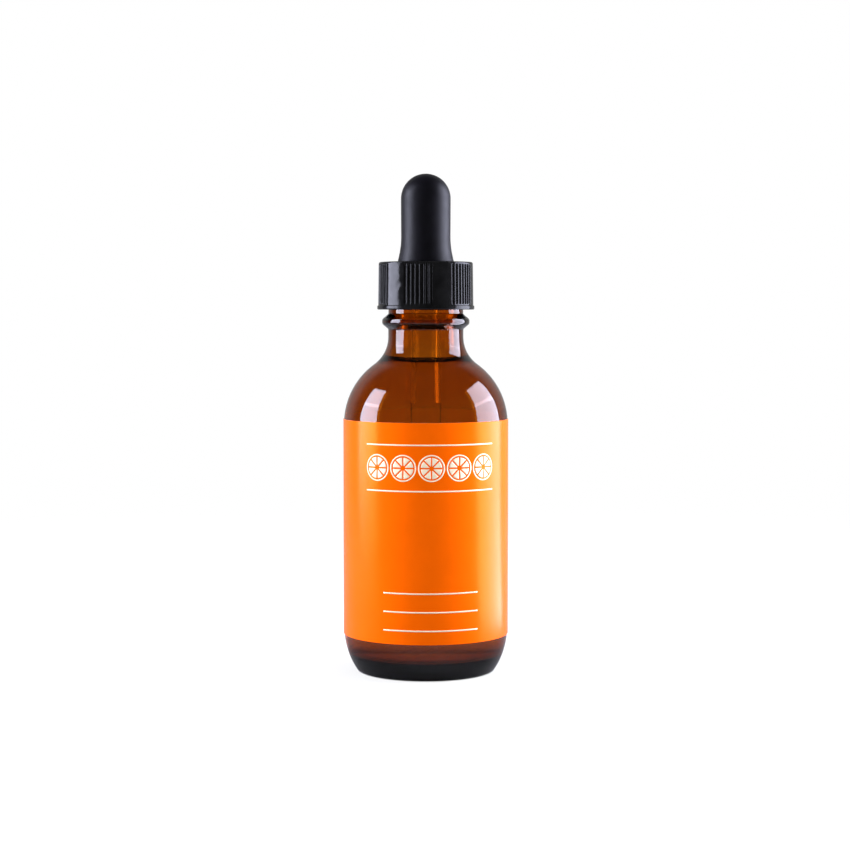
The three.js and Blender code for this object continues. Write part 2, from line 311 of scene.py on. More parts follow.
class StageSettings(bpy.types.PropertyGroup):
    """Camera, floor and lights"""

    camera_aside: size("Camera aside", "How far the camera stands to the right of the bottle's axis", -0.19)
    camera_distance: size("Camera distance", "Distance of the camera from the bottle's axis", 470.15)
    camera_height: size("Camera height", "Height of the camera", 85.9)
    camera_tilt: angle("Camera tilt", "Angle of the camera below level", 3.326)
    camera_lens: amount("Camera lens", "Focal length on a sensor 36 mm wide, in millimetres", 83.9)
    floor_radius: size("Floor radius", "Radius of the floor", 400)
    floor_shade: amount("Floor shade", "How much of its shading the floor shows to the camera", 0.25)
    contact_from: size("Contact from", "Radius inside which the floor shows all its shading", 14)
    contact_to: size("Contact to", "Radius outside which the floor shows only its faint shading", 17.5)
    floor_tone: colour("Floor colour", "Colour of the floor in the light it sends back", 0.20, 0.20, 0.21)
    # Through the glass the floor is painted darker near the bottle, a painted shade, and whiter out to
    # Through to
    floor_through: amount("Floor through", "How white the floor far off is through the glass", 0.4)
    through_to: size("Through to", "Radius at which the floor is as white as that through the glass", 130)
    floor_white: colour("Floor white", "Colour of the floor as the camera sees it", 0.8, 0.8, 0.8)
    softbox_near: size("Softbox near", "Distance of the softboxes' front edges from the bottle's axis", 480)
    softbox_far: size("Softbox far", "Distance of the softboxes' rear edges from the bottle's axis", 600)
    softbox_height: size("Softbox height", "Height of the softboxes' upper edge", 500)
    softbox_lean: angle("Softbox lean", "How much farther back the front edge stands at its top", 8)
    left_from: angle("Left from", "Front edge of the left softbox, from the front", 70)
    left_to: angle("Left to", "Rear edge of the left softbox, from the front", 104)
    right_from: angle("Right from", "Front edge of the right softbox, from the front", 74)
    right_to: angle("Right to", "Rear edge of the right softbox, from the front", 124)
    left_strength: amount("Left strength", "Radiance of the left softbox", 12.0)
    right_strength: amount("Right strength", "Radiance of the right softbox", 9.0)
    softbox_through: amount("Softbox through", "Share of a softbox's radiance seen through the glass", 0.75)
    lamp_low: size("Lamp low", "Lower edge of the brighter band in the softboxes", 244)
    lamp_high: size("Lamp high", "Upper edge of the brighter band in the softboxes", 280)
    lamp_gain: amount("Lamp gain", "How much brighter than its softbox the band is", 1.4)
    lamp_colour: colour("Lamp colour", "Colour of the softboxes", 0.79, 0.81, 1.0)
    card_from: angle("Card from", "Front edge of the white card beside the bottle, from the front", 74)
    card_to: angle("Card to", "Rear edge of the white card, from the front", 124)
    card_near: size("Card near", "Distance of the white card from the bottle's axis", 90)
    card_lift: size("Card lift", "Height of the white card above the floor", 1)
    card_strength: amount("Card strength", "Radiance of the lit card", 8.0)
    card_through: amount("Card through", "Share of the card's radiance seen through the glass", 0.5)
    left_lamp: angle("Left lamp", "Place of the left lamp for matt faces, from the front", 90)
    right_lamp: angle("Right lamp", "Place of the right lamp for matt faces, from the front", 92)
    left_power: amount("Left power", "Power of the left lamp, in watts", 2.2)
    right_power: amount("Right power", "Power of the right lamp, in watts", 8.5)
    lamp_width: size("Lamp width", "Width of the lamps", 300)
    ambient: amount("Ambient", "Radiance of the room for matt surfaces", 0.92)
    backdrop: amount("Backdrop", "Radiance of the background for glossy faces", 0.4)
    backdrop_from: amount("Backdrop from", "Rearward heading at which that background starts", 0.4)
    backdrop_to: amount("Backdrop to", "Rearward heading at which that background is full", 0.75)
    front: amount("Front", "Radiance of the room in front for glossy faces", 0.03)
    overhead: amount("Overhead", "Radiance overhead, as seen through the glass", 0.1)
    overhead_from: amount("Overhead from", "Upward heading at which the white starts to fade", 0.45)
    overhead_to: amount("Overhead to", "Upward heading at which the white has faded", 0.8)


class DropperBottleSettings(bpy.types.PropertyGroup):
    """All settings of the dropper bottle"""

    glass: PointerProperty(type=GlassSettings)
    thread: PointerProperty(type=ThreadSettings)
    fill: PointerProperty(type=FillSettings)
    label: PointerProperty(type=LabelSettings)
    cap: PointerProperty(type=CapSettings)
    bulb: PointerProperty(type=BulbSettings)
    pipette: PointerProperty(type=PipetteSettings)
    stage: PointerProperty(type=StageSettings)


# Outlines and turned meshes


def smooth(share):
    """An even start and stop between 0 and 1."""
    share = min(1.0, max(0.0, share))
    return share * share * (3 - 2 * share)


def rounded_outline(corners, ring=False):
    """Points of an outline whose corners (radius, height, fillet) are rounded by arcs."""
    points = [Vector(corner[:2]) for corner in corners]
    outline = []
    for i, corner in enumerate(corners):
        fillet = corner[2] if len(corner) > 2 else 0
        if not fillet:
            outline.append(points[i])
            continue
        arriving = (points[i] - points[i - 1]).normalized()
        leaving = (points[(i + 1) % len(points)] - points[i]).normalized()
        turn = math.atan2(arriving.x * leaving.y - arriving.y * leaving.x, arriving.dot(leaving))
        start = points[i] - arriving * fillet * math.tan(abs(turn) / 2)
        side = Vector((-arriving.y, arriving.x)) * math.copysign(fillet, turn)
        steps = max(3, math.ceil(abs(turn) / ARC_STEP), math.ceil(abs(turn) * fillet / ARC_LENGTH))
        for step in range(steps + 1):
            swung = turn * step / steps
            cosine, sine = math.cos(swung), math.sin(swung)
            spoke = Vector((-side.x * cosine + side.y * sine, -side.x * sine - side.y * cosine))
            outline.append(start + side + spoke)
    outline = [point for i, point in enumerate(outline) if not i or (point - outline[i - 1]).length > CLOSE]
    if ring:
        outline.append(outline[0].copy())
    return outline


def with_rows(outline, low, high, row):
    """The outline with its runs between two heights cut into rows no taller than row."""
    finer = [outline[0]]
    for before, after in zip(outline, outline[1:]):
        inside = min(before.y, after.y) > low - CLOSE and max(before.y, after.y) < high + CLOSE
        steps = math.ceil(abs(after.y - before.y) / row) if inside else 1
        finer.extend(before.lerp(after, step / max(1, steps)) for step in range(1, max(1, steps) + 1))
    return finer


def even_angles(count):
    """Angles of evenly spaced columns, from the front towards +X."""
    return [TURN * i / count for i in range(count)]


def around(radius, turn, height):
    """The point at an angle from the front."""
    return (radius * math.sin(turn), -radius * math.cos(turn), height)


def new_piece(name, points, faces, materials):
    """A smooth-shaded object, with sharp edges only where the surface really turns."""
    mesh = bpy.data.meshes.new(name)
    mesh.from_pydata(points, [], faces)
    mesh.validate()
    mesh.shade_smooth()
    mesh.set_sharp_from_angle(angle=SHARP_EDGE)
    for material in materials:
        mesh.materials.append(material)
    piece = bpy.data.objects.new(name, mesh)
    bpy.context.scene.collection.objects.link(piece)
    return piece


def turned_piece(name, outline, angles, materials, relief=None):
    """Turns an outline about the upright axis. relief(row, turn) is how far a point stands out."""
    points = []
    rows = []
    for i, (radius, height) in enumerate(outline):
        start = len(points)
        if radius < CLOSE:
            points.append((0, 0, height))
            rows.append([start] * len(angles))
            continue
        if i and i == len(outline) - 1 and (outline[0] - outline[i]).length < CLOSE:
            rows.append(rows[0])
            continue
        for turn in angles:
            reach = radius + (relief(i, turn) if relief else 0)
            points.append(around(reach, turn, height))
        rows.append(list(range(start, start + len(angles))))
    faces = []
    for lower, upper in zip(rows, rows[1:]):
        for j in range(len(angles)):
            k = (j + 1) % len(angles)
            faces.append(list(dict.fromkeys((lower[j], lower[k], upper[k], upper[j]))))
    return new_piece(name, points, faces, materials)


def thread_rise(turn, height, low, half, thread):
    """How far a right-hand thread that starts at height low stands out of its wall."""
    rise = 0.0
    for lap in range(math.ceil(thread.turns)):
        along = turn / TURN % 1 + lap
        if along > thread.turns:
            continue
        off = abs(height - low - thread.pitch * along) / half
        ends = smooth(min(along, thread.turns - along) / thread.run_out)
        rise = max(rise, thread.depth * ends * smooth(THREAD_STEEPNESS * (1 - off)))
    return rise


def thread_low(thread):
    """Height at which the neck's thread starts."""
    return LIP_Z - thread.below_lip - thread.pitch * thread.turns


def inside_wall(glass, gap):
    """Inside of the glass from the middle of its floor up to its lip, moved inwards by a gap."""
    inner = BODY_RADIUS - glass.body_wall
    bore = glass.neck_bore / 2
    floor_z = glass.push_up + glass.base_thickness
    shoulder_z = glass.shoulder_height - glass.body_wall * math.tan(glass.shoulder_slope / 2)
    neck_z = shoulder_z + (inner - bore) / math.tan(glass.shoulder_slope)
    return rounded_outline(
        [
            (0, floor_z + gap),
            (glass.floor_flat - gap, floor_z + gap, glass.floor_flat_radius),
            (inner - gap, floor_z - glass.floor_drop + gap, glass.floor_corner - gap),
            (inner - gap, shoulder_z, glass.shoulder_radius - glass.body_wall),
            (bore - gap, neck_z, glass.neck_fillet + glass.body_wall),
            (bore - gap, LIP_Z),
        ]
    )


# Shader nodes


def set_inputs(tree, node, inputs):
    """Sets inputs by name, where an underscore stands for a space: a value is kept, a socket joined."""
    for name, value in inputs.items():
        socket = node.inputs[name.replace("_", " ")]
        if isinstance(value, bpy.types.NodeSocket):
            tree.links.new(value, socket)
        else:
            socket.default_value = value


def add_node(tree, kind, settings=None, **inputs):
    """A shader node with its settings and inputs."""
    node = tree.nodes.new(f"ShaderNode{kind}")
    for name, value in (settings or {}).items():
        setattr(node, name, value)
    set_inputs(tree, node, inputs)
    return node


def fade(tree, value, start, end, first, last):
    """A number that goes smoothly from first to last while a value goes from start to end."""
    span = add_node(tree, "MapRange", {"interpolation_type": "SMOOTHSTEP"}, Value=value)
    set_inputs(tree, span, {"From Min": start, "From Max": end, "To Min": first, "To Max": last})
    return span.outputs["Result"]


def mix(tree, kind, factor, first, second):
    """A number (FLOAT) or a colour (RGBA) between two others."""
    return add_node(tree, "Mix", {"data_type": kind}, Factor=factor, A=first, B=second).outputs["Result"]


def combine(tree, operation, first, second):
    """The result of a mathematical operation on two values."""
    node = add_node(tree, "Math", {"operation": operation})
    tree.links.new(first, node.inputs[0])
    tree.links.new(second, node.inputs[1])
    return node.outputs["Value"]


def new_group(name, inputs, output):
    """A shader node group with numbers as its inputs and one number as its output."""
    group = bpy.data.node_groups.new(name, "ShaderNodeTree")
    for socket, default in inputs.items():
        made = group.interface.new_socket(name=socket, in_out="INPUT", socket_type="NodeSocketFloat")
        made.default_value = default
    group.interface.new_socket(name=output, in_out="OUTPUT", socket_type="NodeSocketFloat")
    return group, group.nodes.new("NodeGroupInput").outputs, group.nodes.new("NodeGroupOutput").inputs


def mottle_group():
    """Soft patches between two values, as of handling, moulding or uneven ink."""
    found = bpy.data.node_groups.get("Mottle")
    if found:
        return found
    inputs = {"Patches per metre": 200.0, "From": 0.0, "To": 1.0}
    group, given, out = new_group("Mottle", inputs, "Value")
    place = add_node(group, "TexCoord").outputs["Object"]
    patches = add_node(group, "TexNoise", Vector=place, Scale=given["Patches per metre"], Detail=3.0)
    value = fade(group, patches.outputs["Fac"], PATCH_LOW, PATCH_HIGH, given["From"], given["To"])
    group.links.new(value, out["Value"])
    return group


def grain_group():
    """Height of a fine grain laid over broad waves, for a bump."""
    found = bpy.data.node_groups.get("Grain")
    if found:
        return found
    inputs = {"Grains per metre": 3000.0, "Waves per metre": 120.0, "Wave share": 0.5}
    group, given, out = new_group("Grain", inputs, "Height")
    place = add_node(group, "TexCoord").outputs["Object"]
    grains = add_node(group, "TexNoise", Vector=place, Scale=given["Grains per metre"], Detail=2.0)
    waves = add_node(group, "TexNoise", Vector=place, Scale=given["Waves per metre"], Detail=1.0)
    height = mix(group, "FLOAT", given["Wave share"], grains.outputs["Fac"], waves.outputs["Fac"])
    group.links.new(height, out["Height"])
    return group


# Finishes


def new_finish(name):
    """A plain material, its node tree and its Principled BSDF."""
    material = bpy.data.materials.new(name)
    material.use_nodes = True
    return material, material.node_tree, material.node_tree.nodes["Principled BSDF"]


def vary_colour(tree, shader, low, high, **patches):
    """Base colour that drifts between two tones in soft patches."""
    mottle = add_node(tree, "Group", {"node_tree": mottle_group()}, **patches)
    tone = mix(tree, "RGBA", mottle.outputs["Value"], (*low, 1), (*high, 1))
    tree.links.new(tone, shader.inputs["Base Color"])


def vary_roughness(tree, shader, **patches):
    """Roughness that drifts between two values in soft patches."""
    mottle = add_node(tree, "Group", {"node_tree": mottle_group()}, **patches)
    tree.links.new(mottle.outputs["Value"], shader.inputs["Roughness"])


def roughen(tree, shader, depth, **grain):
    """Bump of a fine grain over broad waves, depth metres deep."""
    heights = add_node(tree, "Group", {"node_tree": grain_group()}, **grain)
    bump = add_node(tree, "Bump", Distance=depth, Height=heights.outputs["Height"])
    tree.links.new(bump.outputs["Normal"], shader.inputs["Normal"])


def scaled(tone, share):
    """A colour made lighter or darker."""
    return tuple(min(1.0, part * share) for part in tone)


def clear_finish(name, tint, ior, absorbed=None, density=0.0, wave_depth=0.0):
    """Glass or liquid: clear, glossy, and coloured by what it absorbs."""
    material, tree, shader = new_finish(name)
    shader.inputs["Transmission Weight"].default_value = 1.0
    shader.inputs["IOR"].default_value = ior
    vary_colour(tree, shader, scaled(tint, 0.985), tint, Patches_per_metre=90.0)
    vary_roughness(tree, shader, Patches_per_metre=140.0, From=0.0, To=0.012)
    if absorbed is not None:
        body = add_node(tree, "VolumeAbsorption", Color=(*absorbed, 1), Density=density)
        tree.links.new(body.outputs["Volume"], tree.nodes["Material Output"].inputs["Volume"])
    if wave_depth:
        roughen(tree, shader, wave_depth, Grains_per_metre=400.0, Waves_per_metre=90.0, Wave_share=0.9)
    return material


def amber_finish(glass):
    """Blown amber glass with faint waves."""
    return clear_finish("amber_glass", glass.tint, GLASS_IOR, glass.absorbed, glass.density, 0.03 * MM)


def bitters_finish(fill):
    """Clear brown spirit."""
    return clear_finish("bitters", fill.tint, FILL_IOR, fill.absorbed, fill.density)


def paper_finish(label):
    """Satin orange stock with uneven ink and a faint fibre."""
    material, tree, shader = new_finish("label_paper")
    vary_colour(tree, shader, scaled(label.paper, 0.98), scaled(label.paper, 1.02), Patches_per_metre=160.0)
    vary_roughness(tree, shader, Patches_per_metre=500.0, From=0.2, To=0.23)
    roughen(tree, shader, 0.008 * MM, Grains_per_metre=6000.0, Waves_per_metre=600.0, Wave_share=0.35)
    set_inputs(tree, shader, {"Specular IOR Level": 0.3, "Specular Tint": (1.0, 0.85, 0.0, 1.0)})
    return material


def core_finish(label):
    """Uncoated paper at the cut edge and on the glued back."""
    material, tree, shader = new_finish("label_core")
    vary_colour(tree, shader, scaled(label.core, 0.9), scaled(label.core, 1.05), Patches_per_metre=900.0)
    vary_roughness(tree, shader, Patches_per_metre=900.0, From=0.75, To=0.9)
    roughen(tree, shader, 0.02 * MM, Grains_per_metre=9000.0, Waves_per_metre=1500.0, Wave_share=0.4)
    return material


def ink_finish(label):
    """Cream ink, a little thinner in places."""
    material, tree, shader = new_finish("label_ink")
    vary_colour(tree, shader, scaled(label.ink, 0.95), scaled(label.ink, 1.03), Patches_per_metre=700.0)
    vary_roughness(tree, shader, Patches_per_metre=900.0, From=0.36, To=0.5)
    roughen(tree, shader, 0.008 * MM, Grains_per_metre=7000.0, Waves_per_metre=900.0, Wave_share=0.3)
    return material


def plastic_finish(cap):
    """Black moulded plastic, uneven where it shrank in the mould."""
    material, tree, shader = new_finish("cap_plastic")
    vary_colour(tree, shader, scaled(cap.plastic, 0.8), scaled(cap.plastic, 1.4), Patches_per_metre=300.0)
    vary_roughness(tree, shader, Patches_per_metre=700.0, From=0.12, To=0.22)
    roughen(tree, shader, 0.16 * MM, Grains_per_metre=2600.0, Waves_per_metre=380.0, Wave_share=0.97)
    shader.inputs["Specular IOR Level"].default_value = 0.26
    return material


def rubber_finish(bulb):
    """Black rubber with a fine matt grain."""
    material, tree, shader = new_finish("bulb_rubber")
    vary_colour(tree, shader, scaled(bulb.rubber, 0.85), scaled(bulb.rubber, 1.3), Patches_per_metre=350.0)
    vary_roughness(tree, shader, Patches_per_metre=500.0, From=0.41, To=0.48)
    shader.inputs["Specular IOR Level"].default_value = 0.23
    roughen(tree, shader, 0.02 * MM, Grains_per_metre=5000.0, Waves_per_metre=300.0, Wave_share=0.5)
    return material


def glow_finish(name, tone, strength, through):
    """An even glow, of which only a share is seen through glass."""
    material, tree, shader = new_finish(name)
    tree.nodes.remove(shader)
    seen = add_node(tree, "LightPath").outputs
    level = mix(tree, "FLOAT", seen["Is Transmission Ray"], strength, strength * through)
    glow = add_node(tree, "Emission", Color=(*tone, 1), Strength=level)
    tree.links.new(glow.outputs["Emission"], tree.nodes["Material Output"].inputs["Surface"])
    return material


# Operators


class DROPPER_OT_stage(bpy.types.Operator):
    """Sets the camera, pale floor, white surroundings, two softboxes, a lit card and two lamps"""

    bl_idname = "dropper_bottle.stage"
    bl_label = "Stage"

    def execute(self, context):
        stage = context.scene.dropper_bottle.stage
        context.scene.view_settings.view_transform = "Standard"
        self.add_camera(context, stage)
        self.add_floor(stage)
        self.add_surroundings(context, stage)
        self.add_softbox("left", stage, -stage.left_from, -stage.left_to, stage.left_strength)
        self.add_softbox("right", stage, stage.right_from, stage.right_to, stage.right_strength)
        self.add_card(stage)
        self.add_lamp(context, "left", stage, -stage.left_lamp, stage.left_power)
        self.add_lamp(context, "right", stage, stage.right_lamp, stage.right_power)
        return {"FINISHED"}

    def add_camera(self, context, stage):
        """A camera on the front side, looking a little down."""
        lens = bpy.data.cameras.new("camera")
        lens.sensor_fit = "HORIZONTAL"
        lens.sensor_width = 36.0
        lens.lens = stage.camera_lens
        lens.clip_start = 0.01
        camera = bpy.data.objects.new("camera", lens)
        camera.location = (stage.camera_aside, -stage.camera_distance, stage.camera_height)
        camera.rotation_euler = (math.pi / 2 - stage.camera_tilt, 0, 0)
        context.scene.collection.objects.link(camera)
        context.scene.camera = camera

    def add_floor(self, stage):
        """A round floor that fades into the white background, keeps the bottle's shadow and, seen through
        the glass, a painted shade round the bottle.
        """
        material, tree, shader = new_finish("floor")
        set_inputs(tree, shader, {"Roughness": 0.9, "Specular IOR Level": 0.0})
        seen = add_node(tree, "LightPath").outputs
        place = add_node(tree, "TexCoord").outputs["Object"]
        reach = add_node(tree, "VectorMath", {"operation": "LENGTH"}, Vector=place).outputs["Value"]
        contact = fade(tree, reach, stage.contact_from, stage.contact_to, 1.0, 0.0)
        faint = fade(tree, reach, stage.contact_to, stage.floor_radius, stage.floor_shade, 0.0)
        # Seen through the glass, the floor is painted dark near the bottle and whiter farther off: a
        # painted shade
        painted_shade_lift = fade(tree, reach, stage.contact_to, stage.through_to, 0.0, stage.floor_through)
        through = combine(tree, "MULTIPLY", seen["Is Transmission Ray"], painted_shade_lift)
        looking = combine(tree, "MAXIMUM", through, seen["Is Camera Ray"])
        tone = mix(tree, "RGBA", looking, (*stage.floor_tone, 1), (*stage.floor_white, 1))
        share = mix(tree, "FLOAT", looking, 1.0, combine(tree, "MAXIMUM", contact, faint))
        clear = add_node(tree, "BsdfTransparent")
        blend = add_node(tree, "MixShader", Fac=share)
        tree.links.new(tone, shader.inputs["Base Color"])
        tree.links.new(clear.outputs["BSDF"], blend.inputs[1])
        tree.links.new(shader.outputs["BSDF"], blend.inputs[2])
        tree.links.new(blend.outputs["Shader"], tree.nodes["Material Output"].inputs["Surface"])
        rim = [around(stage.floor_radius, turn, 0) for turn in even_angles(GLASS_COLUMNS)]
        new_piece("floor", rim, [range(len(rim))], [material])

    def add_surroundings(self, context, stage):
        """White behind the bottle and through it, dim in front where glossy faces look back."""
        world = bpy.data.worlds.new("surroundings")
        world.use_nodes = True
        context.scene.world = world
        tree = world.node_tree
        seen = add_node(tree, "LightPath").outputs
        place = add_node(tree, "TexCoord").outputs["Generated"]
        heading = add_node(tree, "SeparateXYZ", Vector=place).outputs
        rear_span = (stage.backdrop_from, stage.backdrop_to)
        behind = fade(tree, heading["Y"], *rear_span, stage.front, stage.backdrop)
        above = fade(tree, heading["Z"], stage.overhead_from, stage.overhead_to, 1.0, stage.overhead)
        glossy = mix(tree, "FLOAT", seen["Is Glossy Ray"], stage.ambient, behind)
        through = mix(tree, "FLOAT", seen["Is Transmission Ray"], glossy, above)
        level = mix(tree, "FLOAT", seen["Is Camera Ray"], through, 1.0)
        set_inputs(tree, tree.nodes["Background"], {"Color": (1, 1, 1, 1), "Strength": level})

    def add_softbox(self, side, stage, front, rear, strength):
        """An upright softbox in three glowing panels, the middle one brighter, that no camera sees."""
        edges = (0, stage.lamp_low, stage.lamp_high, stage.softbox_height)

        def row(height):
            lean = math.copysign(stage.softbox_lean, front) * height / stage.softbox_height
            near = around(stage.softbox_near, front + lean, height)
            return [near, around(stage.softbox_far, rear, height)]

        for i, (low, high) in enumerate(zip(edges, edges[1:])):
            name = f"softbox_{side}_{i + 1}"
            gain = stage.lamp_gain if i == 1 else 1
            material = glow_finish(name, stage.lamp_colour, strength * gain, stage.softbox_through)
            panel = new_piece(name, row(low) + row(high)[::-1], [(0, 1, 2, 3)], [material])
            panel.visible_camera = False

    def add_card(self, stage):
        """A lit card on the floor, between the bottle and the right softbox."""
        material = glow_finish("card", stage.lamp_colour, stage.card_strength, stage.card_through)
        ends = (stage.card_from, stage.card_to)
        corners = [around(stage.card_near, turn, stage.card_lift) for turn in ends]
        corners += [around(stage.softbox_near, turn, stage.card_lift) for turn in reversed(ends)]
        card = new_piece("card", corners, [(0, 1, 2, 3)], [material])
        card.visible_camera = False

    def add_lamp(self, context, side, stage, turn, power):
        """A lamp in front of a softbox for matt faces alone, because glossy ones see the softbox."""
        light = bpy.data.lights.new(f"lamp_{side}", "AREA")
        light.shape = "RECTANGLE"
        light.size = stage.lamp_width
        light.size_y = stage.softbox_height
        light.energy = power
        lamp = bpy.data.objects.new(light.name, light)
        lamp.location = around(stage.softbox_near, turn, stage.softbox_height / 2)
        lamp.rotation_euler = (math.pi / 2, 0, turn)
        lamp.visible_glossy = False
        lamp.visible_transmission = False
        context.scene.collection.objects.link(lamp)


class DROPPER_OT_glass(bpy.types.Operator):
    """Turns the amber glass, with its bead, screw thread and mould seams"""

    bl_idname = "dropper_bottle.glass"
    bl_label = "Bottle glass"

    def execute(self, context):
        settings = context.scene.dropper_bottle
        glass = settings.glass
        thread = settings.thread
        neck = glass.neck_diameter / 2
        base = BODY_RADIUS - glass.heel_inset
        bearing = base - glass.bearing_width
        neck_z = glass.shoulder_height + (BODY_RADIUS - neck) / math.tan(glass.shoulder_slope)
        bead_z = CAP_RIM_Z - glass.bead_below_cap
        crest_z = bead_z - (glass.bead_height - glass.bead_crest) / 2
        bore = glass.neck_bore / 2
        outside = rounded_outline(
            [
                (0, glass.push_up),
                (bearing - glass.push_up_side, glass.push_up, glass.push_up_radius),
                (bearing, 0, glass.bearing_edge),
                (base, 0, glass.heel_corner),
                (BODY_RADIUS, glass.heel_height, glass.heel_radius),
                (BODY_RADIUS, glass.shoulder_height, glass.shoulder_radius),
                (neck, neck_z, glass.neck_fillet),
                (neck, bead_z - glass.bead_height, glass.bead_foot),
                (neck + glass.bead_proud, crest_z - glass.bead_crest, glass.bead_radius),
                (neck + glass.bead_proud, crest_z, glass.bead_radius),
                (neck, bead_z, glass.bead_foot),
                (neck, LIP_Z, glass.lip_radius),
                (bore, LIP_Z, glass.lip_radius),
                (bore, LIP_Z - 2 * glass.lip_radius),
            ]
        )
        outside = with_rows(outside, bead_z, LIP_Z - glass.lip_radius, THREAD_ROW)
        inside = inside_wall(glass, 0)[::-1][1:]
        outline = outside + inside
        low = thread_low(thread)

        def relief(row, turn):
            radius, height = outline[row]
            underneath = radius < bearing and height < glass.heel_height
            if row >= len(outside) or underneath or radius < neck - CLOSE:
                return 0
            if height > bead_z:
                return thread_rise(turn, height, low, thread.neck_half, thread)
            to_seam = abs(math.remainder(turn - TURN / 4, TURN / 2)) * radius
            return glass.seam_proud * smooth(1 - to_seam / glass.seam_width)

        seam_step = glass.seam_width / BODY_RADIUS / 2
        seams = [side + step * seam_step for side in (TURN / 4, 3 * TURN / 4) for step in (-2, -1, 1, 2)]
        angles = sorted(even_angles(GLASS_COLUMNS) + seams)
        piece = turned_piece("bottle_glass", outline, angles, [amber_finish(glass)], relief)
        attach(piece, "bottle")
        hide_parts("bottle")
        return {"FINISHED"}


class DROPPER_OT_fill(bpy.types.Operator):
    """Pours the bitters, with a rim that climbs the glass"""

    bl_idname = "dropper_bottle.fill"
    bl_label = "Bitters"

    def execute(self, context):
        settings = context.scene.dropper_bottle
        fill = settings.fill
        wall = inside_wall(settings.glass, -fill.overlap)
        above = next(i for i, point in enumerate(wall) if point.y > FILL_CONTACT_Z)
        low, high = wall[above - 1], wall[above]
        contact = low.lerp(high, (FILL_CONTACT_Z - low.y) / (high.y - low.y))
        rim = []
        steps = math.ceil(TURN / 4 / ARC_STEP)
        for step in range(1, steps + 1):
            swung = step / steps * TURN / 4
            inwards = fill.overlap + fill.meniscus_width * (1 - math.cos(swung))
            rim.append(Vector((contact.x - inwards, contact.y - fill.meniscus_rise * math.sin(swung))))
        surface = Vector((0, rim[-1].y))
        outline = wall[:above] + [contact, *rim, surface]
        piece = turned_piece("bitters_fill", outline, even_angles(GLASS_COLUMNS), [bitters_finish(fill)])
        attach(piece, "bottle")
        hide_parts("liquid")
        return {"FINISHED"}


def paper_ripple(label, turn, height):
    """How far the paper stands off at one place, in faint waves."""
    spot = Vector((WAVES_ROUND * math.sin(turn), WAVES_ROUND * math.cos(turn), height / WAVE_HEIGHT))
    wave = noise.noise(spot)
    return label.ripple * (0.5 + 0.5 * wave)


class DROPPER_OT_label(bpy.types.Operator):
    """Wraps the orange paper round the body, with its thickness and cut edges"""

    bl_idname = "dropper_bottle.label"
    bl_label = "Label"

    def execute(self, context):
        label = context.scene.dropper_bottle.label
        half = TURN / 2 - label.back_gap / 2 / LABEL_RADIUS
        points = []
        for inset in (0, label.thickness):
            for row in range(LABEL_ROWS + 1):
                height = LABEL_BOTTOM_Z + (LABEL_TOP_Z - LABEL_BOTTOM_Z) * row / LABEL_ROWS
                for column in range(LABEL_COLUMNS + 1):
                    turn = half * (2 * column / LABEL_COLUMNS - 1)
                    reach = LABEL_RADIUS - inset + paper_ripple(label, turn, height)
                    points.append(around(reach, turn, height))
        wide = LABEL_COLUMNS + 1
        back = wide * (LABEL_ROWS + 1)
        top = LABEL_ROWS * wide
        faces = []
        for row in range(LABEL_ROWS):
            for column in range(LABEL_COLUMNS):
                i = row * wide + column
                faces.append((i, i + 1, i + wide + 1, i + wide))
                faces.append((back + i, back + i + wide, back + i + wide + 1, back + i + 1))
        printed = len(faces)
        for i in range(LABEL_COLUMNS):
            faces.append((i, back + i, back + i + 1, i + 1))
            faces.append((top + i, top + i + 1, back + top + i + 1, back + top + i))
        for i in range(0, top, wide):
            faces.append((i, i + wide, back + i + wide, back + i))
            j = i + LABEL_COLUMNS
            faces.append((j, back + j, back + j + wide, j + wide))
        piece = new_piece("wrap_label", points, faces, [paper_finish(label), core_finish(label)])
        # The first faces are front and back in turn, and the cut edges follow
        for i, face in enumerate(piece.data.polygons):
            face.material_index = 1 if i >= printed or i % 2 else 0
        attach(piece, "bottle")
        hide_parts("label")
        return {"FINISHED"}


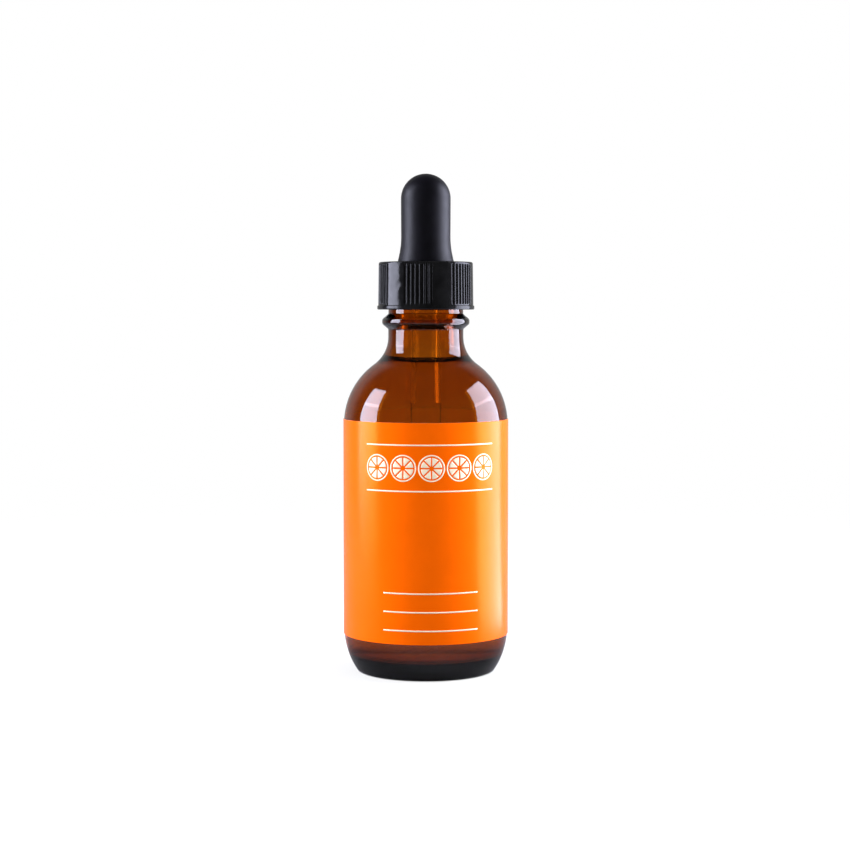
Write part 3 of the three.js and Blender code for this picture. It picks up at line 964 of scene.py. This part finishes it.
class DROPPER_OT_print(bpy.types.Operator):
    """Lays cream ink on the label: a band of citrus slices between two rules, and lines to write on"""

    bl_idname = "dropper_bottle.print"
    bl_label = "Label print"

    def execute(self, context):
        label = context.scene.dropper_bottle.label
        self.label = label
        self.points = []
        self.faces = []
        band_z = LABEL_TOP_Z - label.band_below_top
        for side in (-1, 1):
            self.rule(label.band_half, band_z + side * label.band_half_height)
        reach = label.band_half - label.slice_radius
        for i in range(label.slices):
            self.slice(reach * (2 * i / (label.slices - 1) - 1), band_z)
        for i in range(label.lines):
            self.rule(label.line_half, LABEL_BOTTOM_Z + label.line_above_bottom + i * label.line_pitch)
        piece = new_piece("label_print", self.points, self.faces, [ink_finish(label)])
        body = piece.modifiers.new("ink", "SOLIDIFY")
        body.thickness = label.ink_thickness
        body.offset = 1.0
        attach(piece, "bottle")
        return {"FINISHED"}

    def patch(self, place, along, across, ring=False):
        """A patch of ink. place(s, t) is a point, to the right of the print's middle and in height."""
        start = len(self.points)
        wide = across + 1
        columns = along if ring else along + 1
        for i in range(columns):
            for j in range(wide):
                sideways, height = place(i / along, j / across)
                turn = (self.label.print_aside + sideways) / LABEL_RADIUS
                reach = LABEL_RADIUS + paper_ripple(self.label, turn, height) + self.label.ink_lift
                self.points.append(around(reach, turn, height))
        for i in range(along):
            for j in range(across):
                here = start + i * wide + j
                there = start + (i + 1) % columns * wide + j
                self.faces.append((here, there, there + 1, here + 1))

    def rule(self, half, height):
        """A thin line along the paper."""
        width = self.label.rule_width
        steps = math.ceil(2 * half / RULE_STEP)
        self.patch(lambda s, t: (half * (2 * s - 1), height + width * (t - 0.5)), steps, 1)

    def slice(self, aside, height):
        """A round slice of citrus: its rind and its segments."""
        label = self.label
        outer = label.slice_radius
        inner = outer - label.rind - label.pith
        half = TURN / 2 / label.segments

        def rind(s, t):
            radius = outer - label.rind * t
            return aside + radius * math.sin(TURN * s), height + radius * math.cos(TURN * s)

        self.patch(rind, RIND_STEPS, 1, ring=True)
        point = SEGMENT_BLUNTNESS * label.membrane / 2 / math.sin(half)
        for i in range(label.segments):
            facing = TURN * (i + 0.5) / label.segments

            def segment(s, t, facing=facing):
                radius = point + (inner - point) * s
                swung = facing + (half - math.asin(label.membrane / 2 / radius)) * (2 * t - 1)
                return aside + radius * math.sin(swung), height + radius * math.cos(swung)

            self.patch(segment, SEGMENT_STEPS, SEGMENT_WIDTH_STEPS)


def groove_share(to_groove):
    """Depth of a groove as a share, where to_groove is 0 in the groove and 0.5 on a rib's crest."""
    return smooth((GROOVE_EDGE - to_groove) / GROOVE_FLANK)


class DROPPER_OT_cap(bpy.types.Operator):
    """Moulds the cap, with its grouped ribs and the thread inside"""

    bl_idname = "dropper_bottle.cap"
    bl_label = "Cap"

    def execute(self, context):
        settings = context.scene.dropper_bottle
        cap = settings.cap
        thread = settings.thread
        top = cap.bore + cap.wall
        skirt = top + cap.draft
        under_z = CAP_TOP_Z - cap.top_thickness
        band_z = CAP_RIM_Z + cap.rim_height
        foot_z = band_z + cap.rib_foot
        head_z = CAP_TOP_Z - cap.rib_head
        ramp_steps = (0, cap.rib_ramp / 2, cap.rib_ramp)
        wall_rows = [foot_z + step for step in ramp_steps]
        wall_rows += [head_z - step for step in reversed(ramp_steps)]

        def wall_radius(height):
            return skirt - cap.draft * (height - band_z) / (CAP_TOP_Z - band_z)

        outline = rounded_outline(
            [
                (cap.bore, CAP_RIM_Z, cap.inner_edge),
                (CAP_RIM_RADIUS, CAP_RIM_Z, cap.rim_radius),
                (CAP_RIM_RADIUS, band_z, cap.rim_radius),
                (skirt, band_z),
                *((wall_radius(height), height) for height in wall_rows),
                (top, CAP_TOP_Z, cap.edge_radius),
                (cap.hole, CAP_TOP_Z, cap.inner_edge),
                (cap.hole, under_z, cap.inner_edge),
                (cap.bore, under_z, cap.inner_edge),
            ],
            ring=True,
        )
        wall = with_rows(outline[:-1], foot_z, head_z, RIB_ROW)
        outline = wall + with_rows(outline[-2:], CAP_RIM_Z, under_z, THREAD_ROW)[1:]
        low = thread_low(thread) - thread.pitch / 2
        group_pitch = TURN / cap.rib_groups

        def relief(row, turn):
            radius, height = outline[row]
            if abs(radius - cap.bore) < CLOSE:
                return -thread_rise(turn, height, low, thread.cap_half, thread)
            if not foot_z <= height <= head_z or radius < top:
                return 0
            off = math.remainder(turn - cap.rib_phase, group_pitch) / cap.rib_pitch
            if abs(off) > (cap.ribs + 1) / 2:
                return 0
            to_groove = abs(math.remainder(off + cap.ribs / 2, 1))
            ends = smooth(min(height - foot_z, head_z - height) / cap.rib_ramp)
            return -cap.rib_depth * ends * groove_share(to_groove)

        angles = []
        ribbed = cap.ribs + 1
        for group in range(cap.rib_groups):
            middle = cap.rib_phase + group * group_pitch
            steps = ribbed * RIB_STEPS
            angles += [middle + cap.rib_pitch * (i / RIB_STEPS - ribbed / 2) for i in range(steps + 1)]
            plain = group_pitch - cap.rib_pitch * ribbed
            start = middle + cap.rib_pitch * ribbed / 2
            angles += [start + plain * i / PLAIN_STEPS for i in range(1, PLAIN_STEPS)]
        piece = turned_piece("screw_cap", outline, angles, [plastic_finish(cap)], relief)
        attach(piece, "cap")
        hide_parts("cap")
        return {"FINISHED"}


class DROPPER_OT_bulb(bpy.types.Operator):
    """Moulds the hollow rubber bulb"""

    bl_idname = "dropper_bottle.bulb"
    bl_label = "Bulb"

    def execute(self, context):
        bulb = context.scene.dropper_bottle.bulb
        flange_top = FLANGE_Z + bulb.flange_thickness
        seat_z = CAP_TOP_Z + bulb.seat_gap
        ledge_z = FLANGE_Z + bulb.grip_length
        cavity = bulb.radius - bulb.wall
        swollen = bulb.radius + bulb.swell
        outline = rounded_outline(
            [
                (0, BULB_TOP_Z - bulb.wall),
                (cavity, BULB_TOP_Z - bulb.wall, cavity),
                (cavity, ledge_z, bulb.flange_edge),
                (bulb.grip, ledge_z, bulb.flange_edge / 2),
                (bulb.grip, FLANGE_Z, bulb.flange_edge / 2),
                (FLANGE_RADIUS, FLANGE_Z, bulb.flange_edge),
                (FLANGE_RADIUS, flange_top, bulb.flange_edge),
                (bulb.waist, flange_top),
                (bulb.waist, seat_z),
                (bulb.flare_radius, seat_z, bulb.flare_lip / 3),
                (bulb.flare_radius, seat_z + bulb.flare_lip, bulb.flare_lip / 2),
                (bulb.radius, seat_z + bulb.flare_height, bulb.flare_curve),
                (swollen, BULB_TOP_Z - swollen),
                (swollen, BULB_TOP_Z, swollen),
                (0, BULB_TOP_Z),
            ]
        )
        outline = with_rows(outline, seat_z, BULB_TOP_Z, BULB_ROW)
        piece = turned_piece("rubber_bulb", outline, even_angles(BULB_COLUMNS), [rubber_finish(bulb)])
        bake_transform(piece)
        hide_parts("bulb")
        return {"FINISHED"}


class DROPPER_OT_pipette(bpy.types.Operator):
    """Draws the glass pipette, with its tapered tip and rolled rim"""

    bl_idname = "dropper_bottle.pipette"
    bl_label = "Pipette"

    def execute(self, context):
        settings = context.scene.dropper_bottle
        tube = settings.pipette
        bore = tube.radius - tube.wall
        tip_z = PIPETTE_TIP_Z + tube.tip_straight
        taper_z = tip_z + tube.tip_taper
        rim_z = PIPETTE_TOP_Z - tube.rim_height
        outline = rounded_outline(
            [
                (tube.tip_bore, PIPETTE_TIP_Z, tube.tip_edge / 2),
                (tube.tip_radius, PIPETTE_TIP_Z, tube.tip_edge),
                (tube.tip_radius, tip_z, tube.taper_curve),
                (tube.radius, taper_z, tube.taper_curve),
                (tube.radius, rim_z, tube.rim_edge / 2),
                (PIPETTE_RIM_RADIUS, rim_z, tube.rim_edge / 2),
                (PIPETTE_RIM_RADIUS, PIPETTE_TOP_Z, tube.rim_edge),
                (bore, PIPETTE_TOP_Z, tube.rim_edge),
                (bore, taper_z, tube.taper_curve),
                (tube.tip_bore, tip_z, tube.taper_curve),
            ],
            ring=True,
        )
        outline = with_rows(outline, PIPETTE_TIP_Z, PIPETTE_TOP_Z, PIPETTE_ROW)
        dry = clear_finish("pipette_glass", tube.tint, TUBE_IOR)
        wet = clear_finish("pipette_glass_wet", tube.tint, TUBE_IOR / FILL_IOR)
        piece = turned_piece("glass_pipette", outline, even_angles(PIPETTE_COLUMNS), [dry, wet])
        level_outside = FILL_CONTACT_Z - settings.fill.meniscus_rise
        level_inside = PIPETTE_TIP_Z + tube.column
        for face in piece.data.polygons:
            outwards = face.normal.dot(Vector((face.center.x, face.center.y, 0))) > 0
            face.material_index = int(face.center.z < (level_outside if outwards else level_inside))
        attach(piece, "dropper")
        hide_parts("pipette")
        return {"FINISHED"}


PIECE_OPERATORS = (
    DROPPER_OT_stage,
    DROPPER_OT_glass,
    DROPPER_OT_fill,
    DROPPER_OT_label,
    DROPPER_OT_print,
    DROPPER_OT_cap,
    DROPPER_OT_bulb,
    DROPPER_OT_pipette,
)


class DROPPER_PT_panel(bpy.types.Panel):
    """Lists the pieces of the dropper bottle"""

    bl_idname = "DROPPER_PT_panel"
    bl_label = "Dropper Bottle"
    bl_space_type = "VIEW_3D"
    bl_region_type = "UI"
    bl_category = "Dropper Bottle"

    def draw(self, context):
        for operator in PIECE_OPERATORS:
            self.layout.operator(operator.bl_idname)


CLASSES = (
    GlassSettings,
    ThreadSettings,
    FillSettings,
    LabelSettings,
    CapSettings,
    BulbSettings,
    PipetteSettings,
    StageSettings,
    DropperBottleSettings,
    *PIECE_OPERATORS,
    DROPPER_PT_panel,
)


def register():
    """Makes the settings, operators and panel known to Blender."""
    for made in CLASSES:
        bpy.utils.register_class(made)
    bpy.types.Scene.dropper_bottle = PointerProperty(type=DropperBottleSettings)


def unregister():
    """Takes the settings, operators and panel away again."""
    del bpy.types.Scene.dropper_bottle
    for made in reversed(CLASSES):
        bpy.utils.unregister_class(made)


def main():
    """Builds the stage and every piece."""
    register()
    bpy.ops.dropper_bottle.stage()
    bpy.ops.dropper_bottle.glass()
    bpy.ops.dropper_bottle.fill()
    bpy.ops.dropper_bottle.label()
    bpy.ops.dropper_bottle.print()
    bpy.ops.dropper_bottle.cap()
    bpy.ops.dropper_bottle.bulb()
    bpy.ops.dropper_bottle.pipette()


if __name__ == "__main__":
    main()
